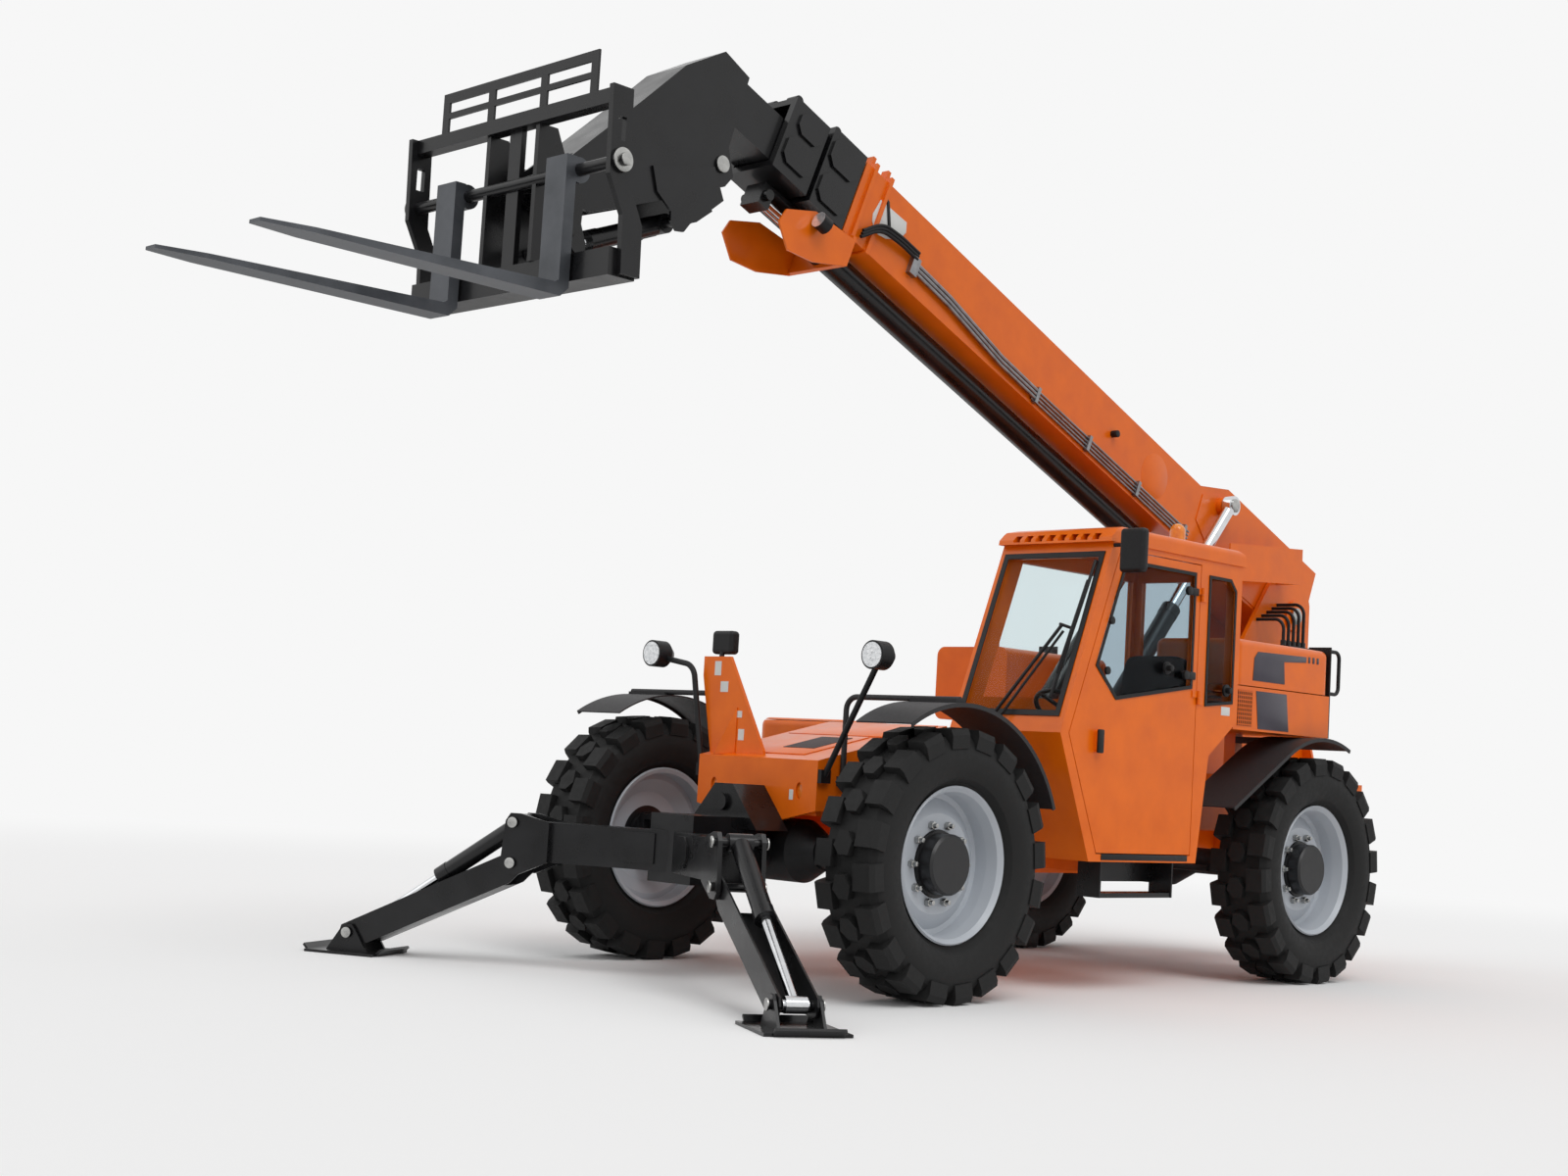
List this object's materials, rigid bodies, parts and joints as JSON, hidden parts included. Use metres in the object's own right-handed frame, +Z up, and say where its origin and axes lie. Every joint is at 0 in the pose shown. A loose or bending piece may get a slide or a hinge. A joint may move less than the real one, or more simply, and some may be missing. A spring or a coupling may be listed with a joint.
{
  "type": "telehandler",
  "caption": "Telescopic handler with side cab, four-section boom raised with pallet forks on its carriage, four steered wheels and two front outriggers set down.",
  "frame": {"origin": "on the ground below the middle of the whole, front to back and side to side", "axes": "+X forward to the forks' tips, +Y to the cab side (left), +Z up"},
  "size_m": [8.7114, 3.8408, 4.7607],
  "materials": {
    "paint": "gloss",
    "cast": "matte",
    "fender_plastic": "matte",
    "black_paint": "satin",
    "pod_plastic": "gloss",
    "dark_plastic": "matte",
    "pane": "clear",
    "chair_cover": "matte",
    "lens": "clear",
    "hose_rubber": "matte",
    "rim_paint": "satin",
    "tyre": "matte",
    "line_steel": "satin",
    "barrel_paint": "satin",
    "rod_chrome": "polished",
    "fork_steel": "satin"
  },
  "bodies": {
    "chassis": {"frame": "paint", "nose": "paint", "counterweight": "paint", "front_axle": "cast", "rear_axle": "cast", "fenders": "fender_plastic", "outrigger_beam": "black_paint", "pods": "paint", "tank": "pod_plastic", "engine_block": "cast", "cab_shell": "paint", "cab_roof": "dark_plastic", "cab_glass": "pane", "cab_interior": "dark_plastic", "operator_chair": "chair_cover", "step": "black_paint", "lamp_housings": "dark_plastic", "lamp_lenses": "lens", "valve_block": "black_paint", "hoses": "hose_rubber"},
    "knuckle_fl": {"knuckle_fl": "cast"},
    "wheel_fl": {"rim_fl": "rim_paint", "tyre_fl": "tyre"},
    "knuckle_fr": {"knuckle_fr": "cast"},
    "wheel_fr": {"rim_fr": "rim_paint", "tyre_fr": "tyre"},
    "knuckle_rl": {"knuckle_rl": "cast"},
    "wheel_rl": {"rim_rl": "rim_paint", "tyre_rl": "tyre"},
    "knuckle_rr": {"knuckle_rr": "cast"},
    "wheel_rr": {"rim_rr": "rim_paint", "tyre_rr": "tyre"},
    "boom": {"boom_outer": "paint", "boom_lines": "line_steel", "extend_barrel": "barrel_paint"},
    "stage_2": {"stage_2": "black_paint", "extend_rod": "rod_chrome"},
    "stage_3": {"stage_3": "black_paint"},
    "boom_head": {"boom_head": "black_paint"},
    "carriage": {"carriage": "black_paint", "forks": "fork_steel"},
    "lift_barrels": {"lift_barrels": "barrel_paint"},
    "lift_rods": {"lift_rods": "rod_chrome"},
    "tilt_barrel": {"tilt_barrel": "barrel_paint"},
    "tilt_rod": {"tilt_rod": "rod_chrome"},
    "leg_l": {"leg_l": "black_paint"},
    "pad_l": {"pad_l": "black_paint"},
    "leg_barrel_l": {"leg_barrel_l": "barrel_paint"},
    "leg_rod_l": {"leg_rod_l": "rod_chrome"},
    "leg_r": {"leg_r": "black_paint"},
    "pad_r": {"pad_r": "black_paint"},
    "leg_barrel_r": {"leg_barrel_r": "barrel_paint"},
    "leg_rod_r": {"leg_rod_r": "rod_chrome"},
    "door": {"door": "paint", "door_glass": "pane"},
    "pod_lid": {"pod_lid": "pod_plastic"},
    "engine_hood": {"engine_hood": "pod_plastic"}
  },
  "joints": [
    {"name": "steer_fl", "type": "hinge", "parent": "chassis", "child": "knuckle_fl", "pos_m": [0.61167, 0.93, 0.685], "axis": [0, 0, 1], "range_deg": [-35, 35]},
    {"name": "wheel_fl_spin", "type": "hinge", "parent": "knuckle_fl", "child": "wheel_fl", "pos_m": [0.61167, 1.08, 0.685], "axis": [0, 1, 0], "continuous": true},
    {"name": "steer_fr", "type": "hinge", "parent": "chassis", "child": "knuckle_fr", "pos_m": [0.61167, -0.93, 0.685], "axis": [0, 0, 1], "range_deg": [-35, 35]},
    {"name": "wheel_fr_spin", "type": "hinge", "parent": "knuckle_fr", "child": "wheel_fr", "pos_m": [0.61167, -1.08, 0.685], "axis": [0, 1, 0], "continuous": true},
    {"name": "steer_rl", "type": "hinge", "parent": "chassis", "child": "knuckle_rl", "pos_m": [-2.82833, 0.93, 0.685], "axis": [0, 0, 1], "range_deg": [-35, 35]},
    {"name": "wheel_rl_spin", "type": "hinge", "parent": "knuckle_rl", "child": "wheel_rl", "pos_m": [-2.82833, 1.08, 0.685], "axis": [0, 1, 0], "continuous": true},
    {"name": "steer_rr", "type": "hinge", "parent": "chassis", "child": "knuckle_rr", "pos_m": [-2.82833, -0.93, 0.685], "axis": [0, 0, 1], "range_deg": [-35, 35]},
    {"name": "wheel_rr_spin", "type": "hinge", "parent": "knuckle_rr", "child": "wheel_rr", "pos_m": [-2.82833, -1.08, 0.685], "axis": [0, 1, 0], "continuous": true},
    {"name": "boom_lift", "type": "hinge", "parent": "chassis", "child": "boom", "pos_m": [-4.00833, 0.06, 2.36], "axis": [0, -1, 0], "range_deg": [-27, 45]},
    {"name": "boom_extend", "type": "slide", "parent": "boom", "child": "stage_2", "axis": [0.9304, 0, 0.3665], "range_m": [0, 3]},
    {"name": "stage_3_extend", "type": "slide", "parent": "stage_2", "child": "stage_3", "axis": [0.9304, 0, 0.3665], "range_m": [0, 3]},
    {"name": "head_extend", "type": "slide", "parent": "stage_3", "child": "boom_head", "axis": [0.9304, 0, 0.3665], "range_m": [0, 3]},
    {"name": "carriage_tilt", "type": "hinge", "parent": "boom_head", "child": "carriage", "pos_m": [2.54167, 0.06, 3.86], "axis": [0, 1, 0], "range_deg": [-27, 32]},
    {"name": "lift_barrel_swing", "type": "hinge", "parent": "chassis", "child": "lift_barrels", "pos_m": [-1.31833, 0.06, 0.95], "axis": [0, -1, 0], "range_deg": [-2, 3]},
    {"name": "lift_rod_slide", "type": "slide", "parent": "lift_barrels", "child": "lift_rods", "axis": [-0.6561, 0, 0.7547], "range_m": [-0.5, 0.83]},
    {"name": "tilt_barrel_swing", "type": "hinge", "parent": "boom_head", "child": "tilt_barrel", "pos_m": [1.82167, 0.06, 3.815], "axis": [0, 1, 0], "range_deg": [-3, 3.5]},
    {"name": "tilt_rod_slide", "type": "slide", "parent": "tilt_barrel", "child": "tilt_rod", "axis": [0.9257, 0, -0.3784], "range_m": [-0.176, 0.149]},
    {"name": "leg_l_fold", "type": "hinge", "parent": "chassis", "child": "leg_l", "pos_m": [1.72167, 0.816, 0.542], "axis": [0.891, -0.454, 0], "range_deg": [0, 90]},
    {"name": "pad_l_tilt", "type": "hinge", "parent": "leg_l", "child": "pad_l", "pos_m": [2.14116, 1.63929, 0.11], "axis": [0.891, -0.454, 0], "range_deg": [-10, 10]},
    {"name": "leg_barrel_l_swing", "type": "hinge", "parent": "chassis", "child": "leg_barrel_l", "pos_m": [1.72167, 0.816, 0.752], "axis": [0.891, -0.454, 0], "range_deg": [0, 94]},
    {"name": "leg_rod_l_slide", "type": "slide", "parent": "leg_barrel_l", "child": "leg_rod_l", "axis": [0.3728, 0.7317, -0.5706], "range_m": [-0.292, 0]},
    {"name": "leg_r_fold", "type": "hinge", "parent": "chassis", "child": "leg_r", "pos_m": [1.72167, -0.816, 0.542], "axis": [-0.891, -0.454, 0], "range_deg": [0, 90]},
    {"name": "pad_r_tilt", "type": "hinge", "parent": "leg_r", "child": "pad_r", "pos_m": [2.14116, -1.63929, 0.11], "axis": [-0.891, -0.454, 0], "range_deg": [-10, 10]},
    {"name": "leg_barrel_r_swing", "type": "hinge", "parent": "chassis", "child": "leg_barrel_r", "pos_m": [1.72167, -0.816, 0.752], "axis": [-0.891, -0.454, 0], "range_deg": [0, 94]},
    {"name": "leg_rod_r_slide", "type": "slide", "parent": "leg_barrel_r", "child": "leg_rod_r", "axis": [0.3728, -0.7317, -0.5706], "range_m": [-0.292, 0]},
    {"name": "cab_door", "type": "hinge", "parent": "chassis", "child": "door", "pos_m": [-1.48533, 1.213, 1.5], "axis": [0, 0, 1], "range_deg": [0, 90]},
    {"name": "pod_lid_open", "type": "hinge", "parent": "chassis", "child": "pod_lid", "pos_m": [-2.48833, 0.56, 2.04], "axis": [1, 0, 0], "range_deg": [0, 60]},
    {"name": "engine_hood_open", "type": "hinge", "parent": "chassis", "child": "engine_hood", "pos_m": [-1.08833, -0.48, 1.42], "axis": [-1, 0, 0], "range_deg": [0, 60]}
  ],
  "couplings": [
    {"joint": "steer_fr", "follows": "steer_fl", "ratio": 1},
    {"joint": "steer_rl", "follows": "steer_fl", "ratio": -1},
    {"joint": "steer_rr", "follows": "steer_fl", "ratio": -1},
    {"joint": "stage_3_extend", "follows": "boom_extend", "ratio": 1},
    {"joint": "head_extend", "follows": "boom_extend", "ratio": 1},
    {"joint": "lift_barrel_swing", "follows": "boom_lift", "ratio": 0.03},
    {"joint": "lift_rod_slide", "follows": "boom_lift", "m_per_rad": 1.04},
    {"joint": "tilt_barrel_swing", "follows": "carriage_tilt", "ratio": 0.1},
    {"joint": "tilt_rod_slide", "follows": "carriage_tilt", "m_per_rad": -0.305},
    {"joint": "leg_barrel_l_swing", "follows": "leg_l_fold", "ratio": 1.041},
    {"joint": "leg_rod_l_slide", "follows": "leg_l_fold", "m_per_rad": -0.185},
    {"joint": "leg_barrel_r_swing", "follows": "leg_r_fold", "ratio": 1.041},
    {"joint": "leg_rod_r_slide", "follows": "leg_r_fold", "m_per_rad": -0.185}
  ]
}
